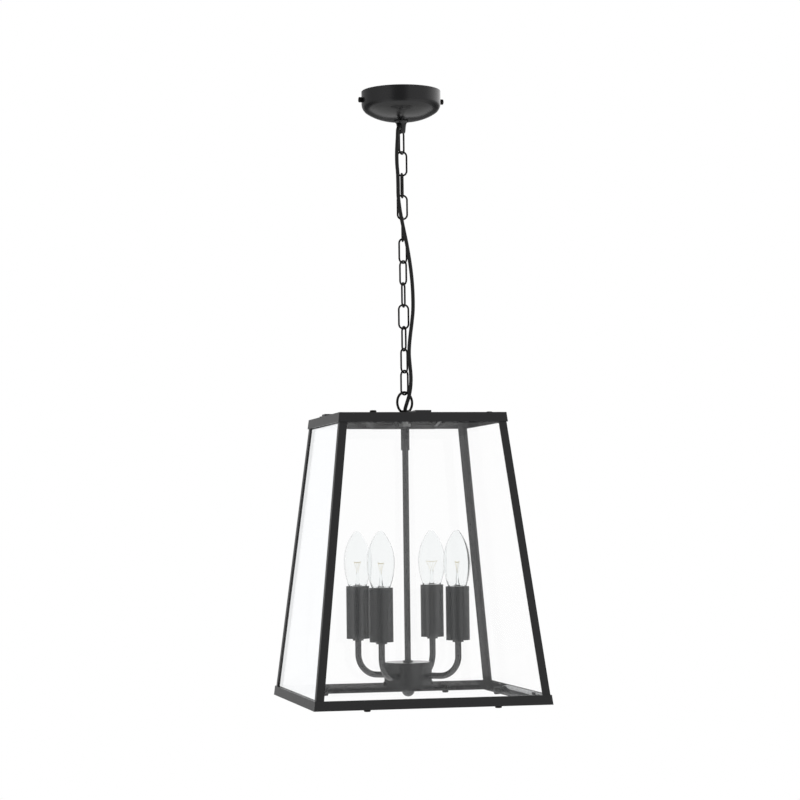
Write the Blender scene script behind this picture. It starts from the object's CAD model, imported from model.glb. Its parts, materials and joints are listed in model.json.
"""Hanging lantern: a tapered glass body with a candle cluster, chain, cable and canopy.

Objects are in metres in the frame of the CAD, where Z = 0 is the ceiling and the front pane
faces -Y. Sizes in millimetres are said to be so.
"""

import json
import logging
import math
from dataclasses import dataclass
from enum import Enum
from typing import Callable, Sequence

import bmesh
import bpy
from mathutils import Matrix, Vector


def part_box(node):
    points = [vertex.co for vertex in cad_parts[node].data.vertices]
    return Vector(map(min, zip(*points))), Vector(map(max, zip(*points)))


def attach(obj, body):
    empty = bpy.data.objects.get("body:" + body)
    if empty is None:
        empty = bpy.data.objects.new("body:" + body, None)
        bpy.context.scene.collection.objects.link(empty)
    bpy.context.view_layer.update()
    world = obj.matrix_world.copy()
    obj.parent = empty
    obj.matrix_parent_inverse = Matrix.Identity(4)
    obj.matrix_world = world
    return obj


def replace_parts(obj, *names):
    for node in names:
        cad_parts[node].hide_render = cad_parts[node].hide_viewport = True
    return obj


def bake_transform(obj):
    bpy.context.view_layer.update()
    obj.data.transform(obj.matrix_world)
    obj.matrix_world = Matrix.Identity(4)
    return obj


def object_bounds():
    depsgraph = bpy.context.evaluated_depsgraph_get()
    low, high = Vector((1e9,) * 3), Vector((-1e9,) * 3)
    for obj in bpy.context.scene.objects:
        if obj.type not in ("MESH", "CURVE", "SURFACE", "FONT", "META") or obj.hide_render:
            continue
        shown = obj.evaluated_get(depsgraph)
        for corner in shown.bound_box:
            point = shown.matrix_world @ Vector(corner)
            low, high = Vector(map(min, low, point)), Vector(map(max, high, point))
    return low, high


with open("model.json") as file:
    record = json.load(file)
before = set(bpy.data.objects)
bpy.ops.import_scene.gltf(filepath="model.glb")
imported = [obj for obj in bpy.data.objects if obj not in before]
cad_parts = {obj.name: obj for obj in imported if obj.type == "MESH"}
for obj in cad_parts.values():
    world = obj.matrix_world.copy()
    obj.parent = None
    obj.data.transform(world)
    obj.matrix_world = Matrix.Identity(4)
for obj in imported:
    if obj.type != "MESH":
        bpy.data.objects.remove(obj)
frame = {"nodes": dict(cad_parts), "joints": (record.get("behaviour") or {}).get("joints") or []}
CAD_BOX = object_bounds()

log = logging.getLogger("lantern")
MM = 0.001
Tree = bpy.types.NodeTree
Socket = bpy.types.NodeSocket
Form = bmesh.types.BMesh
Point = tuple[float, float, float]
Radius = float | Callable[[float], float]
Rings = Sequence[tuple[Radius, float]]
Span = tuple[float, float]


class Slot(Enum):
    """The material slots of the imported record."""

    BLACK_STEEL = "black_steel"
    ZINC_STEEL = "zinc_steel"
    PLASTIC = "moulded_plastic"
    SHEATH = "cable_sheath"
    GLASS = "clear_glass"
    CAP = "cap_metal"


class Side(Enum):
    """The two sides of the canopy, as a sign along X."""

    LEFT = -1
    RIGHT = 1


@dataclass(frozen=True)
class Finish:
    """One material and the record's slot that it stands for."""

    material: bpy.types.Material
    slot: Slot


# ---------------------------------------------------------------- colours and nodes


def linear(code: str) -> tuple[float, float, float, float]:
    """Turns an sRGB hex colour into the linear values that Blender's sockets take.

    Args:
        code: six hex digits after a hash.

    Returns:
        Red, green, blue and an alpha of 1.
    """
    out = []
    for i in (1, 3, 5):
        c = int(code[i : i + 2], 16) / 255
        out.append(c / 12.92 if c <= 0.04045 else ((c + 0.055) / 1.055) ** 2.4)
    return (out[0], out[1], out[2], 1.0)


def add_node(
    tree: Tree,
    kind: str,
    settings: dict[str, object] | None = None,
    inputs: dict[str | int, object] | None = None,
) -> bpy.types.Node:
    """Adds one node, sets it and links it.

    Args:
        tree: the node tree to add it to.
        kind: the node's type, such as ShaderNodeTexNoise.
        settings: the node's own properties.
        inputs: for each input, a value or the output socket to link from.

    Returns:
        The new node.
    """
    node = tree.nodes.new(kind)
    for name, value in (settings or {}).items():
        setattr(node, name, value)
    for key, value in (inputs or {}).items():
        if isinstance(value, Socket):
            tree.links.new(value, node.inputs[key])
        else:
            node.inputs[key].default_value = value
    return node


def new_material(name: str) -> tuple[bpy.types.Material, Tree]:
    """Makes an empty node material.

    Args:
        name: the real material's name.

    Returns:
        The material and its node tree.
    """
    mat = bpy.data.materials.new(name)
    mat.use_nodes = True
    mat.node_tree.nodes.clear()
    return mat, mat.node_tree


def finish_surface(tree: Tree, shader: Socket) -> None:
    """Links a shader to the material's output."""
    add_node(tree, "ShaderNodeOutputMaterial", inputs={"Surface": shader})


def calc(tree: Tree, operation: str, a: object, b: object) -> Socket:
    """Works out one sum of two values, such as MULTIPLY, and returns the result's socket."""
    return add_node(tree, "ShaderNodeMath", {"operation": operation}, {0: a, 1: b}).outputs[0]


def ramp(tree: Tree, value: Socket, span: Span, low: float = 0.0, high: float = 1.0,
         kind: str = "SMOOTHSTEP") -> Socket:
    """Maps a value from one span to another.

    Args:
        tree: the node tree.
        value: the socket that gives the value.
        span: where the ramp starts and ends.
        low: what it gives at the start.
        high: what it gives at the end.
        kind: SMOOTHSTEP, or LINEAR for a straight ramp.

    Returns:
        The result's socket.
    """
    return add_node(tree, "ShaderNodeMapRange", {"interpolation_type": kind}, {
        "Value": value, "From Min": span[0], "From Max": span[1], "To Min": low,
        "To Max": high}).outputs[0]


def between(tree: Tree, part: object, a: object, b: object) -> Socket:
    """Mixes two values, where a part of 0 is all a and 1 is all b."""
    return add_node(tree, "ShaderNodeMix", {"data_type": "FLOAT"}, {
        0: part, 2: a, 3: b}).outputs[0]


def layers(tree: Tree, part: object, under: Socket, over: Socket) -> Socket:
    """Mixes two shaders, where a part of 0 shows the one under and 1 the one over."""
    return add_node(tree, "ShaderNodeMixShader", inputs={
        0: part, 1: under, 2: over}).outputs[0]


def noise(tree: Tree, size_mm: float, detail: float, roughness: float = 0.5) -> Socket:
    """Makes noise that is fixed to the piece, with marks of a size in millimetres."""
    place = add_node(tree, "ShaderNodeTexCoord").outputs["Object"]
    return add_node(tree, "ShaderNodeTexNoise", inputs={
        "Vector": place, "Scale": 1 / (size_mm * MM), "Detail": detail,
        "Roughness": roughness}).outputs["Fac"]


def bumps(tree: Tree, height: Socket, strength: float, depth_mm: float) -> Socket:
    """Turns a height into a bumped normal, with a depth in millimetres."""
    return add_node(tree, "ShaderNodeBump", inputs={
        "Height": height, "Strength": strength, "Distance": depth_mm * MM}).outputs[0]


def drifting(tree: Tree, part: Socket, middle: float, spread: Span) -> Socket:
    """Lets a value drift round its middle, by a spread such as (-0.03, 0.04)."""
    return ramp(tree, part, (0.0, 1.0), middle + spread[0], middle + spread[1], "LINEAR")


def two_tone(tree: Tree, part: Socket, first: str, second: str) -> Socket:
    """Mixes two sRGB colours."""
    return add_node(tree, "ShaderNodeMix", {"data_type": "RGBA"}, {
        0: part, 6: linear(first), 7: linear(second)}).outputs[2]


# ---------------------------------------------------------------- meshes


def turn(form: Form, rings: Rings, sides: int, place: Matrix, closed: bool = False) -> None:
    """Adds a turned surface, made of rings round the local Z axis, in millimetres.

    Args:
        form: the mesh to add it to.
        rings: radius and height of each ring. A radius of 0 is a point on the axis, and a
            function gives the radius at an angle, for hexagons, knurls and threads.
        sides: the points in each ring.
        place: where the local frame stands.
        closed: joins the last ring to the first.
    """
    loops: list[list[bmesh.types.BMVert]] = []
    for radius, z in rings:
        if radius == 0:
            loops.append([form.verts.new(place @ Vector((0, 0, z)))])
            continue
        loop = []
        for k in range(sides):
            a = math.tau * k / sides
            r = radius(a) if callable(radius) else radius
            loop.append(form.verts.new(place @ Vector((r * math.cos(a), r * math.sin(a), z))))
        loops.append(loop)
    pairs = list(zip(loops, loops[1:]))
    if closed:
        pairs.append((loops[-1], loops[0]))
    for low, high in pairs:
        for k in range(sides):
            n = (k + 1) % sides
            if len(low) == 1 and len(high) == 1:
                break
            if len(low) == 1:
                form.faces.new((low[0], high[n], high[k]))
            elif len(high) == 1:
                form.faces.new((low[k], low[n], high[0]))
            else:
                form.faces.new((low[k], low[n], high[n], high[k]))


def sweep(form: Form, path: Sequence[Vector], radius: float, sides: int,
          ends: tuple[bool, bool] = (True, True)) -> None:
    """Adds a round wire or tube along a path, in millimetres.

    Args:
        form: the mesh to add it to.
        path: the points of its centre line.
        radius: half its thickness.
        sides: the points round it.
        ends: whether its first and last ends are closed.
    """
    ways = [(path[min(i + 1, len(path) - 1)] - path[max(i - 1, 0)]).normalized()
            for i in range(len(path))]
    out = ways[0].orthogonal().normalized()
    loops = []
    for here, way in zip(path, ways):
        out = (out - way * out.dot(way)).normalized()
        across = way.cross(out)
        loops.append([
            form.verts.new(here + radius * (math.cos(math.tau * k / sides) * out
                                            + math.sin(math.tau * k / sides) * across))
            for k in range(sides)])
    for low, high in zip(loops, loops[1:]):
        for k in range(sides):
            n = (k + 1) % sides
            form.faces.new((low[k], low[n], high[n], high[k]))
    if ends[0]:
        form.faces.new(list(reversed(loops[0])))
    if ends[1]:
        form.faces.new(loops[-1])


def curve_through(points: Sequence[Vector], steps: int) -> list[Vector]:
    """Returns points on a smooth curve that passes through the given ones.

    Args:
        points: the points to pass through.
        steps: how many points each stretch gets.

    Returns:
        The finer list of points, ends included.
    """
    out = []
    last = len(points) - 1
    for i in range(last):
        a, b = points[max(i - 1, 0)], points[i]
        c, d = points[i + 1], points[min(i + 2, last)]
        for k in range(steps):
            t = k / steps
            out.append(0.5 * (2 * b + (c - a) * t + (2 * a - 5 * b + 4 * c - d) * t**2
                              + (3 * b - 3 * c + d - a) * t**3))
    return out + [points[last].copy()]


def hexagon(across_flats: float) -> Callable[[float], float]:
    """Returns the radius of a hexagon at each angle."""
    return lambda a: across_flats / 2 / math.cos((a % (math.pi / 3)) - math.pi / 6)


def knurl(radius: float, depth: float, ridges: int) -> Callable[[float], float]:
    """Returns the radius of a straight knurl at each angle."""
    return lambda a: radius - depth * abs(2 * ((a * ridges / math.tau) % 1) - 1)


def thread(radius: float, pitch: float, depth: float, low: float, high: float,
           steps: int = 4) -> list[tuple[Radius, float]]:
    """Returns the rings of a screw thread.

    Args:
        radius: the outside radius.
        pitch: the height of one turn.
        depth: how deep the thread is cut.
        low: where it starts.
        high: where it ends.
        steps: rings in each turn.

    Returns:
        Rings for turn().
    """
    count = max(2, round((high - low) / pitch * steps))
    rings: list[tuple[Radius, float]] = []
    for i in range(count + 1):
        z = low + (high - low) * i / count
        rings.append((
            lambda a, z=z: radius - depth * abs(2 * ((z / pitch - a / math.tau) % 1) - 1), z))
    return rings


def make_piece(name: str, form: Form, finish: Finish, body: str | None,
               sharp: float = 32.0) -> bpy.types.Object:
    """Turns a mesh in millimetres into a finished piece.

    Args:
        name: the piece's name.
        form: its mesh, which is used up.
        finish: what it wears.
        body: the CAD body that it rides on, or None for a piece that bends between two.
        sharp: the angle in degrees above which an edge stays crisp.

    Returns:
        The new object.
    """
    bmesh.ops.recalc_face_normals(form, faces=form.faces)
    mesh = bpy.data.meshes.new(name)
    form.to_mesh(mesh)
    form.free()
    mesh.transform(Matrix.Scale(MM, 4))
    mesh.shade_smooth()
    mesh.set_sharp_from_angle(angle=math.radians(sharp))
    mesh.materials.append(finish.material)
    piece = bpy.data.objects.new(name, mesh)
    bpy.context.collection.objects.link(piece)
    if body:
        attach(piece, body)
    log.info("made %s", name)
    return piece


def middle_mm(node: str) -> tuple[Vector, Vector, Vector]:
    """Returns a CAD node's lowest corner, highest corner and middle, in millimetres."""
    low, high = (Vector(p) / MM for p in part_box(node))
    return low, high, (low + high) / 2


# ---------------------------------------------------------------- finishes


@dataclass(frozen=True)
class PowderCoat:
    """Polyester powder coat on steel, sprayed and baked.

    It gives a satin black skin with a faint orange peel. Its tone and gloss drift slowly,
    as the film is thicker in places. The spread is how far the roughness drifts.
    """

    name: str = "satin_black_powder_coat"
    colour: str = "#131314"
    worn: str = "#181819"
    roughness: float = 0.22
    spread: Span = (-0.03, 0.04)
    drift_mm: float = 60.0
    peel_mm: float = 1.6
    peel_depth: float = 0.02
    specular: float = 0.5

    def material(self) -> bpy.types.Material:
        """Returns the powder coat as a node material."""
        mat, tree = new_material(self.name)
        drift = noise(tree, self.drift_mm, 2.0)
        peel = noise(tree, self.peel_mm, 1.0, 0.4)
        shader = add_node(tree, "ShaderNodeBsdfPrincipled", inputs={
            "Base Color": two_tone(tree, drift, self.colour, self.worn),
            "Roughness": drifting(tree, drift, self.roughness, self.spread),
            "Specular IOR Level": self.specular, "IOR": 1.5,
            "Normal": bumps(tree, peel, self.peel_depth, 0.2)})
        finish_surface(tree, shader.outputs[0])
        return mat


@dataclass(frozen=True)
class PlatedSteel:
    """Steel under a thin plated or blackened skin, with marks from drawing and tumbling."""

    name: str
    colour: str
    dark: str
    roughness: float
    spread: Span = (-0.05, 0.07)
    grain_mm: float = 0.9
    grain_depth: float = 0.04

    def material(self) -> bpy.types.Material:
        """Returns the plated steel as a node material."""
        mat, tree = new_material(self.name)
        grain = noise(tree, self.grain_mm, 3.0, 0.6)
        shader = add_node(tree, "ShaderNodeBsdfPrincipled", inputs={
            "Base Color": two_tone(tree, grain, self.colour, self.dark), "Metallic": 1.0,
            "Roughness": drifting(tree, grain, self.roughness, self.spread),
            "Normal": bumps(tree, grain, self.grain_depth, 0.1)})
        finish_surface(tree, shader.outputs[0])
        return mat


@dataclass(frozen=True)
class ClearGlass:
    """Clear soda-lime glass, floated or blown.

    A pane is mostly a thin sheet, which doesn't bend the light: what stands behind shows
    through it, and its mirrored part grows from mirror to graze over the span of facing.
    The inner face of a pane is bloomed against glare, less so below bare_below, where the
    lower rail backs it. A bulb is real glass, with a thin of 0.
    """

    name: str
    tint: str = "#ffffff"
    ior: float = 1.37
    ripple_mm: float = 90.0
    ripple: float = 0.004
    gleam: str = "#fdfeff"
    mirror: float = 0.027
    graze: float = 0.8
    facing: Span = (0.5, 0.8)
    bloomed_inside: bool = True
    bare_below: float = 0.0
    bare_part: float = 0.42
    thin: float = 0.98
    haze: float = 0.0

    def bare(self, tree: Tree) -> Socket:
        """Gives 1 on a face that is seen from outside, and less on a bloomed one."""
        place = add_node(tree, "ShaderNodeTexCoord").outputs["Object"]
        flat = add_node(tree, "ShaderNodeVectorMath", {"operation": "MULTIPLY"}, {
            0: place, 1: (1, 1, 0)})
        faces = add_node(tree, "ShaderNodeNewGeometry")
        out = add_node(tree, "ShaderNodeVectorMath", {"operation": "DOT_PRODUCT"}, {
            0: flat.outputs[0], 1: faces.outputs["Normal"]})
        axes = add_node(tree, "ShaderNodeSeparateXYZ", inputs={0: place})
        low = calc(tree, "LESS_THAN", axes.outputs["Z"], self.bare_below)
        return calc(tree, "MAXIMUM", calc(tree, "GREATER_THAN", out.outputs["Value"], 0.0),
                    calc(tree, "MULTIPLY", low, self.bare_part))

    def material(self) -> bpy.types.Material:
        """Returns the glass as a node material."""
        mat, tree = new_material(self.name)
        normal = bumps(tree, noise(tree, self.ripple_mm, 0.0), self.ripple, 1.0)
        glass = add_node(tree, "ShaderNodeBsdfPrincipled", inputs={
            "Base Color": linear(self.tint), "Roughness": self.haze, "IOR": self.ior,
            "Transmission Weight": 1.0, "Normal": normal}).outputs[0]
        clear = add_node(tree, "ShaderNodeBsdfTransparent", inputs={
            "Color": linear(self.tint)}).outputs[0]
        gleam = add_node(tree, "ShaderNodeBsdfAnisotropic", inputs={
            "Color": linear(self.gleam), "Roughness": 0.0, "Normal": normal}).outputs[0]
        side = add_node(tree, "ShaderNodeLayerWeight", inputs={"Blend": 0.5})
        part = ramp(tree, side.outputs["Facing"], self.facing, self.mirror, self.graze)
        if self.bloomed_inside:
            part = calc(tree, "MULTIPLY", part, self.bare(tree))
        glass = layers(tree, self.thin, glass, layers(tree, part, clear, gleam))
        # Soft light goes through, so that the lamps reach what stands behind the glass
        path = add_node(tree, "ShaderNodeLightPath").outputs
        soft = calc(tree, "MAXIMUM", path["Is Shadow Ray"], path["Is Diffuse Ray"])
        finish_surface(tree, layers(tree, soft, glass, clear))
        return mat


@dataclass(frozen=True)
class MouldedPart:
    """Injection-moulded plastic or rubber with a fine spark-eroded texture."""

    name: str
    colour: str
    roughness: float
    spread: Span = (-0.04, 0.05)
    texture_mm: float = 0.8
    depth: float = 0.08
    specular: float = 0.5

    def material(self) -> bpy.types.Material:
        """Returns the moulded plastic as a node material."""
        mat, tree = new_material(self.name)
        grain = noise(tree, self.texture_mm, 2.0)
        shader = add_node(tree, "ShaderNodeBsdfPrincipled", inputs={
            "Base Color": linear(self.colour),
            "Roughness": drifting(tree, grain, self.roughness, self.spread),
            "Specular IOR Level": self.specular, "Normal": bumps(tree, grain, self.depth, 0.1)})
        finish_surface(tree, shader.outputs[0])
        return mat


class Finishes:
    """Makes each finish once and hands it to the pieces that wear it."""

    def __init__(self) -> None:
        """Makes every finish of the lantern."""
        # Folded sheet and tube, sprayed black as one batch
        self.coat = Finish(PowderCoat().material(), Slot.BLACK_STEEL)
        # Candle cluster: the same coat on smooth tube and turned parts, a little glossier
        self.sleeve = Finish(PowderCoat(
            name="satin_black_coat_on_tube", colour="#0d0f10", worn="#111314",
            roughness=0.24, peel_depth=0.01, specular=0.85).material(), Slot.BLACK_STEEL)
        # Chain and hooks: bent wire, black nickel plated
        self.wire = Finish(PlatedSteel(
            "black_nickel_plated_wire", "#2e2d2c", "#272626", 0.40,
            grain_mm=3.0).material(), Slot.BLACK_STEEL)
        # Small screws and nuts: blackened so that they match the coat
        self.black_nut = Finish(PlatedSteel(
            "black_oxide_steel", "#2f2e2d", "#272625", 0.44,
            grain_mm=2.0).material(), Slot.BLACK_STEEL)
        # Hidden fittings: bright zinc plate, slightly cloudy
        self.zinc = Finish(PlatedSteel(
            "zinc_plated_steel", "#b9bab8", "#a3a5a5", 0.34).material(), Slot.ZINC_STEEL)
        # Bulb caps: rolled nickel-plated brass
        self.cap = Finish(PlatedSteel(
            "nickel_plated_brass", "#cfccc4", "#bcb9b0", 0.25).material(), Slot.CAP)
        # Lead wires and filament: drawn tungsten, warm in tone
        self.tungsten = Finish(PlatedSteel(
            "drawn_tungsten", "#ece2bc", "#d9d0b4", 0.35).material(), Slot.CAP)
        # Solder on the foot contact: dull tin
        self.solder = Finish(PlatedSteel(
            "tin_solder", "#b4b5b6", "#9a9b9d", 0.45).material(), Slot.CAP)
        # Window panes: float glass, 2 mm
        self.pane = Finish(ClearGlass(
            "float_glass", bare_below=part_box("bottom_frame")[1][2]).material(), Slot.GLASS)
        # Bulbs and their mounts: thin blown glass
        self.bulb = Finish(ClearGlass(
            "blown_bulb_glass", tint="#fbfcfc", ior=1.17, ripple_mm=30, ripple=0.02,
            bloomed_inside=False, thin=0.0, haze=0.04).material(), Slot.GLASS)
        # Lampholders and cap insulators: thermoset mouldings
        self.holder = Finish(MouldedPart(
            "moulded_phenolic", "#2a2927", 0.5).material(), Slot.PLASTIC)
        # Terminal block: cream polyamide, moulded
        self.terminal = Finish(MouldedPart(
            "moulded_polyamide", "#e3dfd4", 0.45).material(), Slot.PLASTIC)
        # Cable: extruded PVC, satin black
        self.sheath = Finish(MouldedPart(
            "extruded_pvc_sheath", "#191919", 0.45, texture_mm=0.6, depth=0.05,
            specular=0.25).material(), Slot.SHEATH)


def dress(node: str, finish: Finish) -> bpy.types.Object:
    """Gives a CAD node its material.

    Args:
        node: the CAD node's name.
        finish: what it wears.

    Returns:
        The node's object.
    """
    piece = frame["nodes"][node]
    if not piece.data.materials:
        piece.data.materials.append(finish.material)
    for slot in piece.material_slots:
        slot.material = finish.material
    return piece


# ---------------------------------------------------------------- camera and studio


@dataclass(frozen=True)
class ViewCamera:
    """Camera a little to the left of the lantern and just below its middle."""

    place: Point = (-0.6450, -2.8873, -0.5627)
    yaw: float = -12.476
    pitch: float = 3.111
    roll: float = -0.696
    lens: float = 103.14

    def build(self) -> None:
        """Makes the camera and sets it as the scene's."""
        yaw, pitch, roll = (math.radians(v) for v in (self.yaw, self.pitch, self.roll))
        ahead = Vector((-math.sin(yaw) * math.cos(pitch), math.cos(yaw) * math.cos(pitch),
                        math.sin(pitch)))
        right = Vector((math.cos(yaw), math.sin(yaw), 0))
        up = right.cross(ahead)
        side = math.cos(roll) * right + math.sin(roll) * up
        top = math.cos(roll) * up - math.sin(roll) * right
        data = bpy.data.cameras.new("camera")
        data.lens = self.lens
        data.sensor_width = 36
        data.clip_start = 0.05
        data.clip_end = 60
        cam = bpy.data.objects.new("camera", data)
        bpy.context.collection.objects.link(cam)
        cam.matrix_world = Matrix((
            (side.x, top.x, -ahead.x, self.place[0]),
            (side.y, top.y, -ahead.y, self.place[1]),
            (side.z, top.z, -ahead.z, self.place[2]),
            (0, 0, 0, 1),
        ))
        bpy.context.scene.camera = cam


@dataclass(frozen=True)
class SoftLamp:
    """Square soft lamp, which gloss, glass and the camera don't see. Metres and watts."""

    name: str
    place: Point
    size: float
    power: float

    def build(self, aim: Point) -> None:
        """Makes the lamp.

        Args:
            aim: the point that it faces.
        """
        data = bpy.data.lights.new(self.name, "AREA")
        data.size = self.size
        data.energy = self.power
        data.color = linear("#ffffff")[:3]
        lamp = bpy.data.objects.new(self.name, data)
        bpy.context.collection.objects.link(lamp)
        lamp.location = self.place
        way = Vector(aim) - Vector(self.place)
        lamp.rotation_euler = way.to_track_quat("-Z", "Y").to_euler()
        lamp.visible_glossy = False
        lamp.visible_transmission = False
        lamp.visible_camera = False


@dataclass(frozen=True)
class Studio:
    """White studio: an even surround, three soft lamps and a pale floor.

    The levels are what satin metal and glass mirror: the sheen of the surround to the
    front, back and right, the floor before and behind, the room towards the camera, and a
    dark flag. The spans say where each one gives way to the next, along an axis from -1
    to 1. Angles are in degrees, lengths in metres.
    """

    fill: float = 0.75
    sheen_front: float = 0.6
    sheen_back: float = 0.36
    sheen_right: float = 1.1
    floor_front: float = 0.8
    floor_back: float = 0.1
    room: float = 0.75
    front_rise: Span = (-0.3, 0.0)
    back_rise: Span = (-0.16, -0.02)
    right_rise: Span = (0.0, 0.12)
    right_turn: Span = (0.0, 0.25)
    depth: Span = (-0.6, 0.5)
    room_depth: Span = (-0.9, -0.3)
    flag_level: float = 0.25
    flag_turn: float = -17.0
    flag_in: float = 9.0
    flag_out: float = 30.0
    floor_drop: float = 0.45
    floor_r: float = 2.2
    floor_fade: Span = (0.35, 2.09)
    aim: Point = (0, 0, -0.6)
    lamps: tuple[SoftLamp, ...] = (
        SoftLamp("key_lamp", (-1.8, -1.6, 0.9), 1.6, 26),
        SoftLamp("fill_lamp", (2.2, -1.4, 0.2), 1.8, 14),
        SoftLamp("back_lamp", (0.6, 2.4, 1.0), 1.6, 16),
    )

    def flag(self, tree: Tree, way: Socket) -> Socket:
        """Makes a dark flag at the front, which is a soft dark stripe in satin metal."""
        flat = add_node(tree, "ShaderNodeVectorMath", {"operation": "MULTIPLY"}, {
            0: way, 1: (1, 1, 0)})
        unit = add_node(tree, "ShaderNodeVectorMath", {"operation": "NORMALIZE"}, {
            0: flat.outputs[0]})
        turned = math.radians(self.flag_turn)
        ahead = add_node(tree, "ShaderNodeVectorMath", {"operation": "DOT_PRODUCT"}, {
            0: unit.outputs[0], 1: (math.sin(turned), -math.cos(turned), 0)})
        edges = tuple(math.cos(math.radians(a)) for a in (self.flag_out, self.flag_in))
        return ramp(tree, ahead.outputs["Value"], edges, 1.0, self.flag_level)

    def world(self) -> None:
        """Makes the surround, which is white to the eye and in glass and metal."""
        world = bpy.data.worlds.new("studio")
        bpy.context.scene.world = world
        world.use_nodes = True
        tree = world.node_tree
        tree.nodes.clear()
        path = add_node(tree, "ShaderNodeLightPath").outputs
        way = add_node(tree, "ShaderNodeTexCoord").outputs["Generated"]
        axes = add_node(tree, "ShaderNodeSeparateXYZ", inputs={0: way}).outputs
        # The pale floor shows in satin metal at the front, and a dim one at the back
        front = ramp(tree, axes["Z"], self.front_rise, self.floor_front, self.sheen_front)
        back = ramp(tree, axes["Z"], self.back_rise, self.floor_back, self.sheen_back)
        # A bright wall at the right, low behind, shows in the level flanges of the base
        wall = calc(tree, "MULTIPLY", ramp(tree, axes["Z"], self.right_rise),
                    ramp(tree, axes["X"], self.right_turn, high=self.sheen_right))
        sheen = between(tree, ramp(tree, axes["Y"], self.depth), front,
                        calc(tree, "ADD", back, wall))
        gloss = calc(tree, "MULTIPLY", self.flag(tree, way), sheen)
        # Glass mirrors the white wall behind it, and the dimmer room before it
        mirror = ramp(tree, axes["Y"], self.room_depth, self.room)
        seen = calc(tree, "MAXIMUM", path["Is Camera Ray"], path["Is Transmission Ray"])
        level = between(tree, path["Is Glossy Ray"], self.fill, gloss)
        level = between(tree, path["Is Singular Ray"], level, mirror)
        surround = add_node(tree, "ShaderNodeBackground", inputs={
            "Color": linear("#ffffff"), "Strength": between(tree, seen, level, 1.0)})
        add_node(tree, "ShaderNodeOutputWorld", inputs={"Surface": surround.outputs[0]})

    def floor(self) -> None:
        """Makes the floor, which keeps the shadow and fades to white at its edge."""
        mesh = bpy.data.meshes.new("floor")
        form = bmesh.new()
        bmesh.ops.create_circle(form, cap_ends=True, segments=96, radius=self.floor_r)
        form.to_mesh(mesh)
        form.free()
        floor = bpy.data.objects.new("floor", mesh)
        bpy.context.collection.objects.link(floor)
        floor.location = (0, 0, CAD_BOX[0][2] - self.floor_drop)
        mat, tree = new_material("matt_white_floor_paint")
        place = add_node(tree, "ShaderNodeTexCoord").outputs["Object"]
        far = add_node(tree, "ShaderNodeVectorMath", {"operation": "LENGTH"}, {0: place})
        path = add_node(tree, "ShaderNodeLightPath").outputs
        rays = calc(tree, "MAXIMUM", path["Is Camera Ray"], path["Is Transmission Ray"])
        rays = calc(tree, "MAXIMUM", rays, path["Is Glossy Ray"])
        white = calc(tree, "MULTIPLY", ramp(tree, far.outputs["Value"], self.floor_fade), rays)
        paint = add_node(tree, "ShaderNodeBsdfPrincipled", inputs={
            "Base Color": linear("#f2f2f1"), "Roughness": 0.9, "Specular IOR Level": 0.1})
        glow = add_node(tree, "ShaderNodeEmission", inputs={
            "Color": linear("#ffffff"), "Strength": 1.0})
        # The floor has no underside, so that it doesn't hide the lantern from below
        under = add_node(tree, "ShaderNodeNewGeometry").outputs["Backfacing"]
        gone = add_node(tree, "ShaderNodeBsdfTransparent").outputs[0]
        both = layers(tree, white, paint.outputs[0], glow.outputs[0])
        finish_surface(tree, layers(tree, under, both, gone))
        mesh.materials.append(mat)

    def build(self) -> None:
        """Makes the whole studio."""
        self.world()
        self.floor()
        for lamp in self.lamps:
            lamp.build(self.aim)


# ---------------------------------------------------------------- lantern


@dataclass(frozen=True)
class ButtonScrew:
    """Button-head screw with a hexagon socket and a cut thread. Sizes in millimetres.

    The flat is the share of the head's radius that is level on top, the rim the share of
    its height that is upright, and the socket ends at its own share of the height.
    """

    head_d: float
    head_h: float
    d: float
    length: float
    pitch: float
    key_share: float = 2.5 / 8.6
    flat: float = 0.62
    rim: float = 0.35
    socket: float = 0.42
    thread_depth: float = 0.3

    def add(self, form: Form, place: Matrix) -> None:
        """Adds the screw to a mesh.

        Args:
            form: the mesh to add it to.
            place: the frame whose Z runs from the head's flat side along the shank.
        """
        r, h, end = self.head_d / 2, self.head_h, self.length
        key = hexagon(self.key_share * self.head_d)
        dome: list[tuple[Radius, float]] = [(r - 0.12, 0.0)]
        for k in range(1, 9):
            a = math.pi / 2 * k / 8
            dome.append((r * (self.flat + (1 - self.flat) * math.cos(a) ** 0.8),
                         -h * (self.rim + (1 - self.rim) * math.sin(a))))
        floor = -h * self.socket
        rings = [(0, floor), (key, floor), (key, -h + 0.25), *reversed(dome),
                 (self.d / 2, 0.0)]
        rings += thread(self.d / 2 - 0.03, self.pitch, self.thread_depth, 0.15, end - 0.5)
        rings += [(self.d / 2 - 0.55, end), (0, end)]
        turn(form, rings, 36, place)


@dataclass(frozen=True)
class HexagonNut:
    """Hexagon nut with both faces chamfered. Sizes are in millimetres."""

    across_flats: float
    height: float
    bore_d: float
    bevel: float = 0.35
    land: float = 0.2
    flank: float = 0.5
    countersink: float = 0.3

    def add(self, form: Form, place: Matrix) -> None:
        """Adds the nut to a mesh.

        Args:
            form: the mesh to add it to.
            place: the frame whose Z runs up the nut from its seat.
        """
        flats = hexagon(self.across_flats)
        edge, bore, h = self.across_flats / 2 * 1.03, self.bore_d / 2, self.height

        def cone(a: float) -> float:
            """Returns the radius where the chamfer cuts the corners off."""
            return min(flats(a), edge + self.bevel)

        turn(form, [
            (bore + self.countersink, 0), (edge, 0), (cone, self.land), (flats, self.flank),
            (flats, h - self.flank), (cone, h - self.land), (edge, h),
            (bore + self.countersink, h), (bore, h - self.countersink),
            (bore, self.countersink)], 48, place, closed=True)


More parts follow.
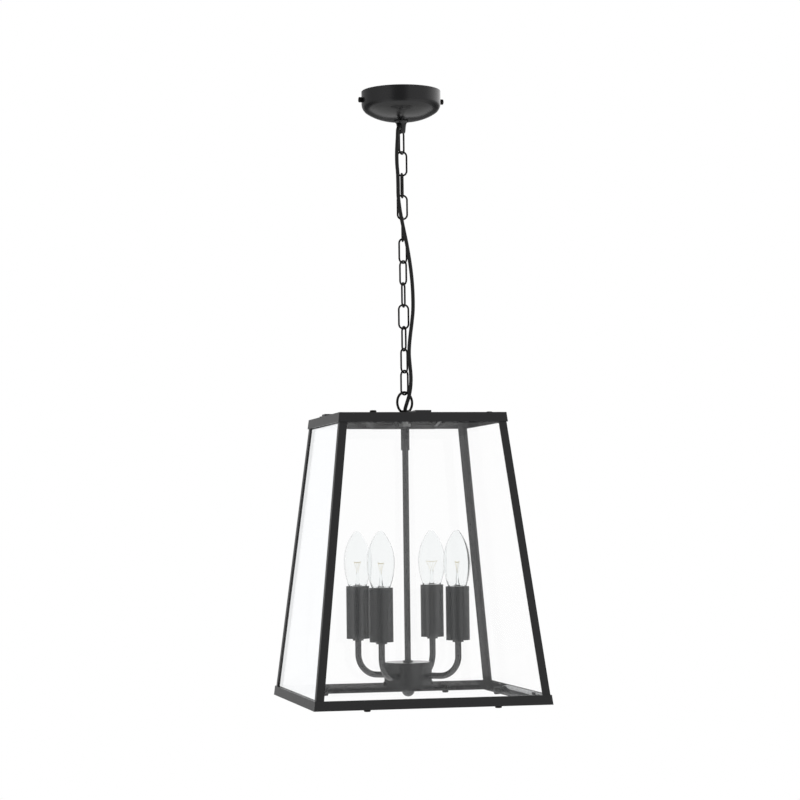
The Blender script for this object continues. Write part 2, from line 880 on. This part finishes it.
@dataclass
class LanternBody:
    """Frame, posts, straps, glass and small fasteners. Sizes are in millimetres."""

    finishes: Finishes
    base_w: float = 300.0
    top_w: float = 214.0
    screw_in: float = 10.4
    low_screw_x: float = 82.5
    high_screw_x: float = 62.0
    steel_t: float = 1.5
    clip_t: float = 1.0
    screw_d: float = 4.0
    nut_h: float = 3.2
    nut_past: float = 0.8
    hub_d: float = 61.0
    hub_screw_up: float = 21.0

    def fasteners(self) -> None:
        """Makes the screws and nuts of the clips and the screws of the hub."""
        base = middle_mm("bottom_frame")[0].z
        top = middle_mm("top_frame")[1].z
        under = self.steel_t + self.clip_t
        clip_screw = ButtonScrew(8.6, 2.8, self.screw_d, under + self.nut_h + self.nut_past,
                                 0.7)
        hub_screw = ButtonScrew(5.5, 1.6, 3.0, 4.5, 0.5)
        nut = HexagonNut(7.0, self.nut_h, self.screw_d + 0.2)
        low_y, high_y = self.screw_in - self.base_w / 2, self.screw_in - self.top_w / 2
        screws, nuts = bmesh.new(), bmesh.new()
        over = Matrix.Rotation(math.pi, 4, "X")
        for i in range(4):
            turned = Matrix.Rotation(math.tau * i / 4, 4, "Z")
            spots = [turned @ Matrix.Translation((x, low_y, base))
                     for x in (-self.low_screw_x, self.low_screw_x)]
            spots.append(turned @ Matrix.Translation((-self.high_screw_x, high_y, top)) @ over)
            for at in spots:
                clip_screw.add(screws, at)
                nut.add(nuts, at @ Matrix.Translation((0, 0, under)))
        for side in Side:
            hub_screw.add(screws, Matrix.Translation(
                (side.value * self.hub_d / 2, 0, base + self.hub_screw_up))
                @ Matrix.Rotation(-side.value * math.pi / 2, 4, "Y"))
        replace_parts(make_piece("socket_screws", screws, self.finishes.black_nut, "lantern"),
                    "frame_screws")
        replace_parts(make_piece("chamfered_nuts", nuts, self.finishes.black_nut, "lantern"),
                    "frame_nuts")

    def build(self) -> None:
        """Dresses the frame and the panes and adds the fasteners."""
        f = self.finishes
        for node in ("top_frame", "bottom_frame", "post_front_left", "post_front_right",
                     "post_back_right", "post_back_left", "strap_side_to_side",
                     "strap_front_to_back", "glass_clips"):
            dress(node, f.coat)
        for node in ("glass_front", "glass_right", "glass_back", "glass_left"):
            dress(node, f.pane)
        dress("tube_nuts", f.zinc)
        dress("loop_nipple", f.zinc)
        self.fasteners()
        log.info("lantern body built")


@dataclass
class CandleBulb:
    """One clear candle bulb with its mount, filament and screw cap. Sizes in millimetres."""

    finishes: Finishes
    number: int
    width: float = 35.0
    height: float = 71.2
    tip_r: float = 6.0
    taper_h: float = 40.0
    neck_r: float = 12.4
    neck_h: float = 2.0
    wall: float = 0.5
    plug_r: float = 6.2
    plug_h: float = 4.0
    cap_d: float = 13.9
    cap_h: float = 28.0
    contact_d: float = 4.6
    contact_h: float = 1.0
    cap_pitch: float = 2.82
    cap_thread: float = 0.75
    lead_d: float = 0.4
    hook_d: float = 0.28
    filament_h: float = 31.0
    filament_w: float = 15.0
    coil_r: float = 0.45
    coil_wire_r: float = 0.12
    coil_turns: int = 22
    coil_dip: float = 1.0

    @property
    def body(self) -> str:
        """The CAD body that the bulb rides on."""
        return f"bulb_{self.number}"

    def outline(self, inset: float, steps: int = 12) -> list[tuple[float, float]]:
        """Returns the glass's outline from its shoulder to its tip.

        Args:
            inset: how far inside the outer face it runs.
            steps: points on each arc.

        Returns:
            Radius and height of each point. The last is on the axis.
        """
        r = self.width / 2
        wide = self.height - self.taper_h
        low_rise, low_in = wide - self.neck_h, r - self.neck_r
        low_x = (low_rise**2 - low_in**2) / (2 * low_in) - self.neck_r
        rise, reach = self.taper_h - self.tip_r, r - self.tip_r
        top_x = (rise**2 - reach**2) / (2 * reach)
        low_r, top_r = low_x + r - inset, top_x + r - inset
        points = []
        for k in range(steps):
            z = inset + (wide - inset) * k / steps
            points.append((math.sqrt(low_r**2 - (wide - z) ** 2) - low_x, z))
        bend = math.atan2(rise, top_x)
        for k in range(steps):
            a = bend * k / steps
            points.append((top_r * math.cos(a) - top_x, wide + top_r * math.sin(a)))
        for k in range(steps):
            a = bend + (math.pi / 2 - bend) * k / steps
            points.append(((self.tip_r - inset) * math.cos(a),
                           self.height - self.tip_r + (self.tip_r - inset) * math.sin(a)))
        return points + [(0, self.height - inset)]

    def envelope(self, at: Matrix) -> None:
        """Makes the blown glass, from its plug in the cap to its tip."""
        glass = bmesh.new()
        rings = [(self.plug_r - self.wall, -self.plug_h), (self.plug_r, -self.plug_h),
                 (self.plug_r, 0), *self.outline(0), *reversed(self.outline(self.wall))]
        turn(glass, rings, 72, at, closed=True)
        piece = make_piece(f"bulb_envelope_{self.number}", glass, self.finishes.bulb, self.body)
        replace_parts(piece, f"bulb_glass_{self.number}")

    def mount(self, at: Matrix) -> None:
        """Makes the drawn glass foot that carries the wires, pinched flat at its top."""
        mount = bmesh.new()
        flare = self.plug_r - self.wall
        turn(mount, [(0, -3.4), (flare - 0.4, -3.2), (flare - 0.5, -2), (3.4, 1), (2.3, 5),
                     (1.9, 11), (lambda a: 1.9 - 0.7 * abs(math.sin(a)), 15),
                     (lambda a: 2.2 - 1.2 * abs(math.sin(a)), 18), (1.2, 19.2), (0.7, 20.5),
                     (0.9, 21.3), (0.6, 22), (0, 22.2)], 28, at)
        make_piece(f"bulb_mount_{self.number}", mount, self.finishes.bulb, self.body)

    def filament(self, at: Matrix) -> None:
        """Makes two lead wires, two supports and a coiled filament between them."""
        wires = bmesh.new()
        half, top = self.filament_w / 2, self.filament_h
        lead = [(1.4, 0, 17), (1.6, 0, 19), (3, 0, 23), (5.6, 0, 28), (half, 0, top)]
        hook = [(0.2, 0, 21.6), (1.2, 0.5, 25), (2.3, 0.4, top - 1.6), (2.6, 0, top - 1.1)]
        for side in (-1, 1):
            for wire, r, sides in ((lead, self.lead_d / 2, 8), (hook, self.hook_d / 2, 6)):
                sweep(wires, [at @ Vector((side * x, y, z)) for x, y, z in wire], r, sides)
        coil = []
        count = self.coil_turns * 12
        for k in range(count + 1):
            t = k / count
            a = math.tau * self.coil_turns * t
            dip = self.coil_dip * ((2 * t - 1) ** 2 - 1)
            coil.append(at @ Vector((half * (2 * t - 1), self.coil_r * math.cos(a),
                                     top + dip + self.coil_r * math.sin(a))))
        sweep(wires, coil, self.coil_wire_r, 5)
        make_piece(f"bulb_filament_{self.number}", wires, self.finishes.tungsten, self.body,
                   sharp=80)

    def cap(self, at: Matrix) -> None:
        """Makes the rolled screw cap, its black insulator and the soldered foot contact."""
        f, n = self.finishes, self.number
        foot = -self.cap_h
        shell = foot + self.contact_h + 2.5
        rim, dot_r = self.cap_d / 2, self.contact_d / 2
        cap = bmesh.new()
        rings = [(rim - 2.3, shell - 1.1), (rim - 1.5, shell - 0.9), (rim - 0.9, shell)]
        rings += thread(rim, self.cap_pitch, self.cap_thread, shell + 0.3, -7.5, steps=10)
        rings += [(rim - 0.35, -7.1), (rim - 0.35, -0.9), (rim - 0.1, -0.5), (rim - 0.1, -0.15),
                  (rim - 0.3, 0), (self.plug_r + 0.1, 0), (self.plug_r + 0.1, -self.plug_h),
                  (0, -self.plug_h)]
        turn(cap, rings, 60, at)
        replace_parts(make_piece(f"bulb_screw_cap_{n}", cap, f.cap, self.body, sharp=50),
                    f"bulb_cap_{n}")
        ring = bmesh.new()
        turn(ring, [(dot_r - 0.2, foot + 0.75), (dot_r + 0.5, foot + 0.8),
                    (rim - 2.3, shell - 1.2), (rim - 1.6, shell - 0.7), (rim - 1.6, shell + 0.4),
                    (0, shell + 0.4)], 48, at)
        make_piece(f"bulb_insulator_{n}", ring, f.holder, self.body)
        dot = bmesh.new()
        turn(dot, [(0, foot), (1.2, foot + 0.08), (2.0, foot + 0.4), (dot_r, foot + 0.9),
                   (dot_r, foot + 1.4), (0, foot + 1.5)], 32, at)
        make_piece(f"bulb_contact_{n}", dot, f.solder, self.body)

    def build(self) -> None:
        """Makes the bulb over its CAD solids, each bulb turned another way."""
        _, high, mid = middle_mm(f"bulb_glass_{self.number}")
        at = (Matrix.Translation((mid.x, mid.y, high.z - self.height))
              @ Matrix.Rotation(0.6 + 1.1 * self.number, 4, "Z"))
        self.envelope(at)
        self.mount(at)
        self.filament(at)
        self.cap(at)


@dataclass
class CandleCluster:
    """Stem, hub, arms, candle sleeves, holders and bulbs."""

    finishes: Finishes

    def build(self) -> None:
        """Dresses the cluster and makes its bulbs."""
        f = self.finishes
        for node in ("stem", "stem_collar", "hub_body", "hub_cover", "finial",
                     "arm_1", "arm_2", "arm_3", "arm_4"):
            dress(node, f.sleeve)
        for i in range(1, 5):
            dress(f"candle_sleeve_{i}", f.sleeve)
            CandleBulb(f, i).build()
        dress("lampholders", f.holder)
        log.info("candle cluster built")


@dataclass
class CableRun:
    """The cable that hangs beside the chain and enters the lantern. Millimetres.

    It is one cable, made as lengths that meet in the middle of each link, so that it bends
    at every joint of the chain.
    """

    finishes: Finishes
    thickness: float = 4.8
    turned: float = -12.0
    reach: float = 9.0
    route: tuple[Point, ...] = (
        (0, 0, -14), (0, 0, -24), (0, 0, -31), (0, 0, -36), (-0.3, -0.6, -40),
        (-1.2, -2.3, -43.4), (-2.5, -4.7, -45.8), (-3.8, -7.1, -48.2), (-4.7, -8.8, -51.6),
        (-5, -9.4, -55.6), (-5.2, -9.5, -61), (-5.8, -8.8, -70), (-6.4, -7.1, -82),
        (-6.3, -5.9, -95), (-5.4, -5.5, -109), (-5.2, -5.8, -123), (-5.1, -6.8, -137),
        (-3.8, -8.8, -151), (-1.6, -10.8, -166), (1.4, -11.2, -182), (4.4, -10.2, -197),
        (7, -8, -212), (9.6, -5.6, -230), (11.4, -3, -248), (12.3, -1, -266),
        (12.2, -0.8, -285), (10.6, -2.2, -301), (8.6, -4.6, -316), (7, -6.6, -330),
        (6.4, -7.2, -343), (7.2, -6.6, -356), (8.2, -5.8, -368), (8.3, -7, -378),
        (7.4, -7.9, -388), (5.4, -6.3, -398), (2.5, -3, -407), (0.8, -0.9, -412.5),
        (0.1, -0.1, -417.5), (0, 0, -424), (0, 0, -434), (0, 0, -446),
    )

    def build(self) -> None:
        """Makes each length of the cable and lets it bend at its joint."""
        spin = Matrix.Rotation(math.radians(self.turned), 3, "Z")
        path = curve_through([spin @ Vector(p) for p in self.route], 4)
        joints = [j for j in frame["joints"] if j["name"].startswith("swing_")]
        pivots = [j["pos_m"][2] / MM for j in joints]
        cuts = [0]
        for high, low in zip(pivots, pivots[1:]):
            middle = (high + low) / 2
            cuts.append(min(range(len(path)), key=lambda i: abs(path[i].z - middle)))
        cuts.append(len(path) - 1)
        for i, (joint, pivot) in enumerate(zip(joints, pivots)):
            form = bmesh.new()
            sweep(form, path[cuts[i] : cuts[i + 1] + 1], self.thickness / 2, 20,
                  (i == 0, i == len(joints) - 1))
            piece = make_piece(f"cable_{i + 1:02d}", form, self.finishes.sheath, None)
            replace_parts(piece, "flex_cable")
            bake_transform(piece)


def trim(form: Form, point: Point, way: Point) -> None:
    """Cuts off what lies past a plane and closes the cut.

    Args:
        form: the mesh to cut.
        point: a point of the plane.
        way: the direction in which the mesh is cut off.
    """
    cut = bmesh.ops.bisect_plane(
        form, geom=form.verts[:] + form.edges[:] + form.faces[:], plane_co=point,
        plane_no=way, clear_outer=True)
    rim = [part for part in cut["geom_cut"] if isinstance(part, bmesh.types.BMEdge)]
    bmesh.ops.edgeloop_fill(form, edges=rim)


@dataclass
class ForkedBoss:
    """Turned boss under the canopy, forked to hold the first link. Sizes in millimetres.

    It stands on a hollow threaded shank, through which the cable comes down. The cable
    leaves through the mouth of the fork.
    """

    finishes: Finishes
    turned: float = -40.0
    face_z: float = -38.0
    bore_r: float = 3.3
    shank_r: float = 5.0
    slot_half: float = 2.6
    slot_top: float = -3.5
    web_low: float = -9.3
    web_in: float = 1.6
    pin_z: float = -15.5
    pin_r: float = 1.4
    pitch: float = 0.9
    thread_depth: float = 0.45
    flank: Rings = (
        (9.0, 0.0), (9.3, -0.4), (9.3, -1.3), (8.5, -2.3), (7.2, -3.2), (6.6, -4.4),
        (6.2, -7.0), (5.8, -10.5), (5.5, -13.5), (5.2, -15.2), (4.6, -16.4), (3.6, -17.0),
    )

    def part(self, high: float, low: float, cuts: list[tuple[Point, Point]]) -> Form:
        """Turns a slice of the boss and trims it.

        Args:
            high: the top of the slice.
            low: its bottom.
            cuts: a point and a direction for each plane that it is cut at.

        Returns:
            The slice, in the boss's own frame.
        """
        form = bmesh.new()
        rings = [(r, z) for r, z in self.flank if low < z < high]
        turn(form, [(0, high), (self.radius(high), high), *rings,
                    (self.radius(low), low), (0, low)], 48, Matrix())
        for point, way in cuts:
            trim(form, point, way)
        return form

    def radius(self, z: float) -> float:
        """Returns the radius of the flank at a height."""
        for (r0, z0), (r1, z1) in zip(self.flank, self.flank[1:]):
            if z0 >= z >= z1:
                return r0 + (r1 - r0) * (z0 - z) / (z0 - z1)
        return self.flank[-1][0]

    def build(self) -> None:
        """Makes the shank, the root, the two prongs, the web and the pin as one piece."""
        half, low = self.slot_half, self.flank[-1][1]
        at = (Matrix.Translation((0, 0, self.face_z))
              @ Matrix.Rotation(math.radians(self.turned), 4, "Z"))
        form = bmesh.new()
        head = [(r, z) for r, z in self.flank if z > self.slot_top]
        turn(form, [*head, (self.radius(self.slot_top), self.slot_top),
                    (self.bore_r, self.slot_top), (self.bore_r, 0.0)], 48, at, closed=True)
        top = middle_mm("canopy_loop")[1].z - self.face_z
        thread_rings = thread(self.shank_r - 0.25, self.pitch, self.thread_depth, 0.2,
                              top - 0.4)
        turn(form, [(self.bore_r, -0.5), (self.shank_r - 0.3, -0.5), *thread_rings,
                    (self.shank_r - 0.7, top), (self.bore_r, top)], 48, at, closed=True)
        slices = [self.part(self.slot_top, low, [((side * half, 0, 0), (-side, 0, 0))])
                  for side in (1, -1)]
        slices.append(self.part(self.slot_top, self.web_low, [
            ((half, 0, 0), (1, 0, 0)), ((-half, 0, 0), (-1, 0, 0)),
            ((0, self.web_in, 0), (0, -1, 0))]))
        for piece in slices:
            mesh = bpy.data.meshes.new("slice")
            piece.to_mesh(mesh)
            piece.free()
            mesh.transform(at)
            form.from_mesh(mesh)
            bpy.data.meshes.remove(mesh)
        reach = self.radius(self.pin_z) - 0.3
        sweep(form, [at @ Vector((k * reach / 2, 0, self.pin_z)) for k in (-2, -1, 0, 1, 2)],
              self.pin_r, 20)
        boss = make_piece("forked_boss", form, self.finishes.coat, "canopy", sharp=35)
        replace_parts(boss, "canopy_loop")


@dataclass
class Suspension:
    """Canopy, bracket, chain, hooks and cable. Sizes are in millimetres."""

    finishes: Finishes
    head_h: float = 4.5
    head_d: float = 7.0
    shank_d: float = 4.0
    pitch: float = 0.7
    ridges: int = 26
    ridge_h: float = 0.3

    def knurled_screw(self, side: Side) -> None:
        """Makes one knurled screw of the canopy.

        Args:
            side: the side of the canopy that it holds.
        """
        name = f"canopy_screw_{side.name.lower()}"
        low, high, mid = middle_mm(name)
        length = high.x - low.x
        tip = low.x if side is Side.RIGHT else high.x
        at = (Matrix.Translation((tip, mid.y, mid.z))
              @ Matrix.Rotation(side.value * math.pi / 2, 4, "Y"))
        under = length - self.head_h
        r = self.head_d / 2
        grip = knurl(r, self.ridge_h, self.ridges)
        soft = knurl(r - 0.25, 0.12, self.ridges)
        rings = [(0, 0), (self.shank_d / 2 - 0.6, 0)]
        rings += thread(self.shank_d / 2 - 0.02, self.pitch, 0.3, 0.5, under - 0.8)
        rings += [(self.shank_d / 2 - 0.3, under - 0.6), (self.shank_d / 2 - 0.3, under),
                  (r - 0.5, under), (soft, under + 0.35), (grip, under + 0.7),
                  (grip, length - 0.7), (soft, length - 0.35), (r - 0.6, length),
                  (r - 1.2, length - 0.15), (0, length - 0.25)]
        form = bmesh.new()
        turn(form, rings, self.ridges * 6, at)
        piece = make_piece(f"knurled_{name}", form, self.finishes.black_nut,
                           f"screw_{side.name.lower()}", sharp=40)
        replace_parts(piece, name)

    def build(self) -> None:
        """Dresses the suspension and adds the screws and the cable."""
        f = self.finishes
        dress("canopy_cup", f.coat)
        ForkedBoss(f).build()
        dress("lantern_loop", f.wire)
        for i in range(1, 13):
            dress(f"chain_link_{i:02d}", f.wire)
        dress("ceiling_bracket", f.zinc)
        dress("canopy_loop_nut", f.zinc)
        dress("terminal_block", f.terminal)
        for side in Side:
            self.knurled_screw(side)
        CableRun(f).build()
        log.info("suspension built")


def main() -> None:
    """Builds the camera, the studio and every sub-assembly in order."""
    logging.basicConfig(level=logging.INFO)
    bpy.context.scene.view_settings.view_transform = "Standard"
    ViewCamera().build()
    Studio().build()
    finishes = Finishes()
    LanternBody(finishes).build()
    CandleCluster(finishes).build()
    Suspension(finishes).build()


if __name__ == "__main__":
    main()
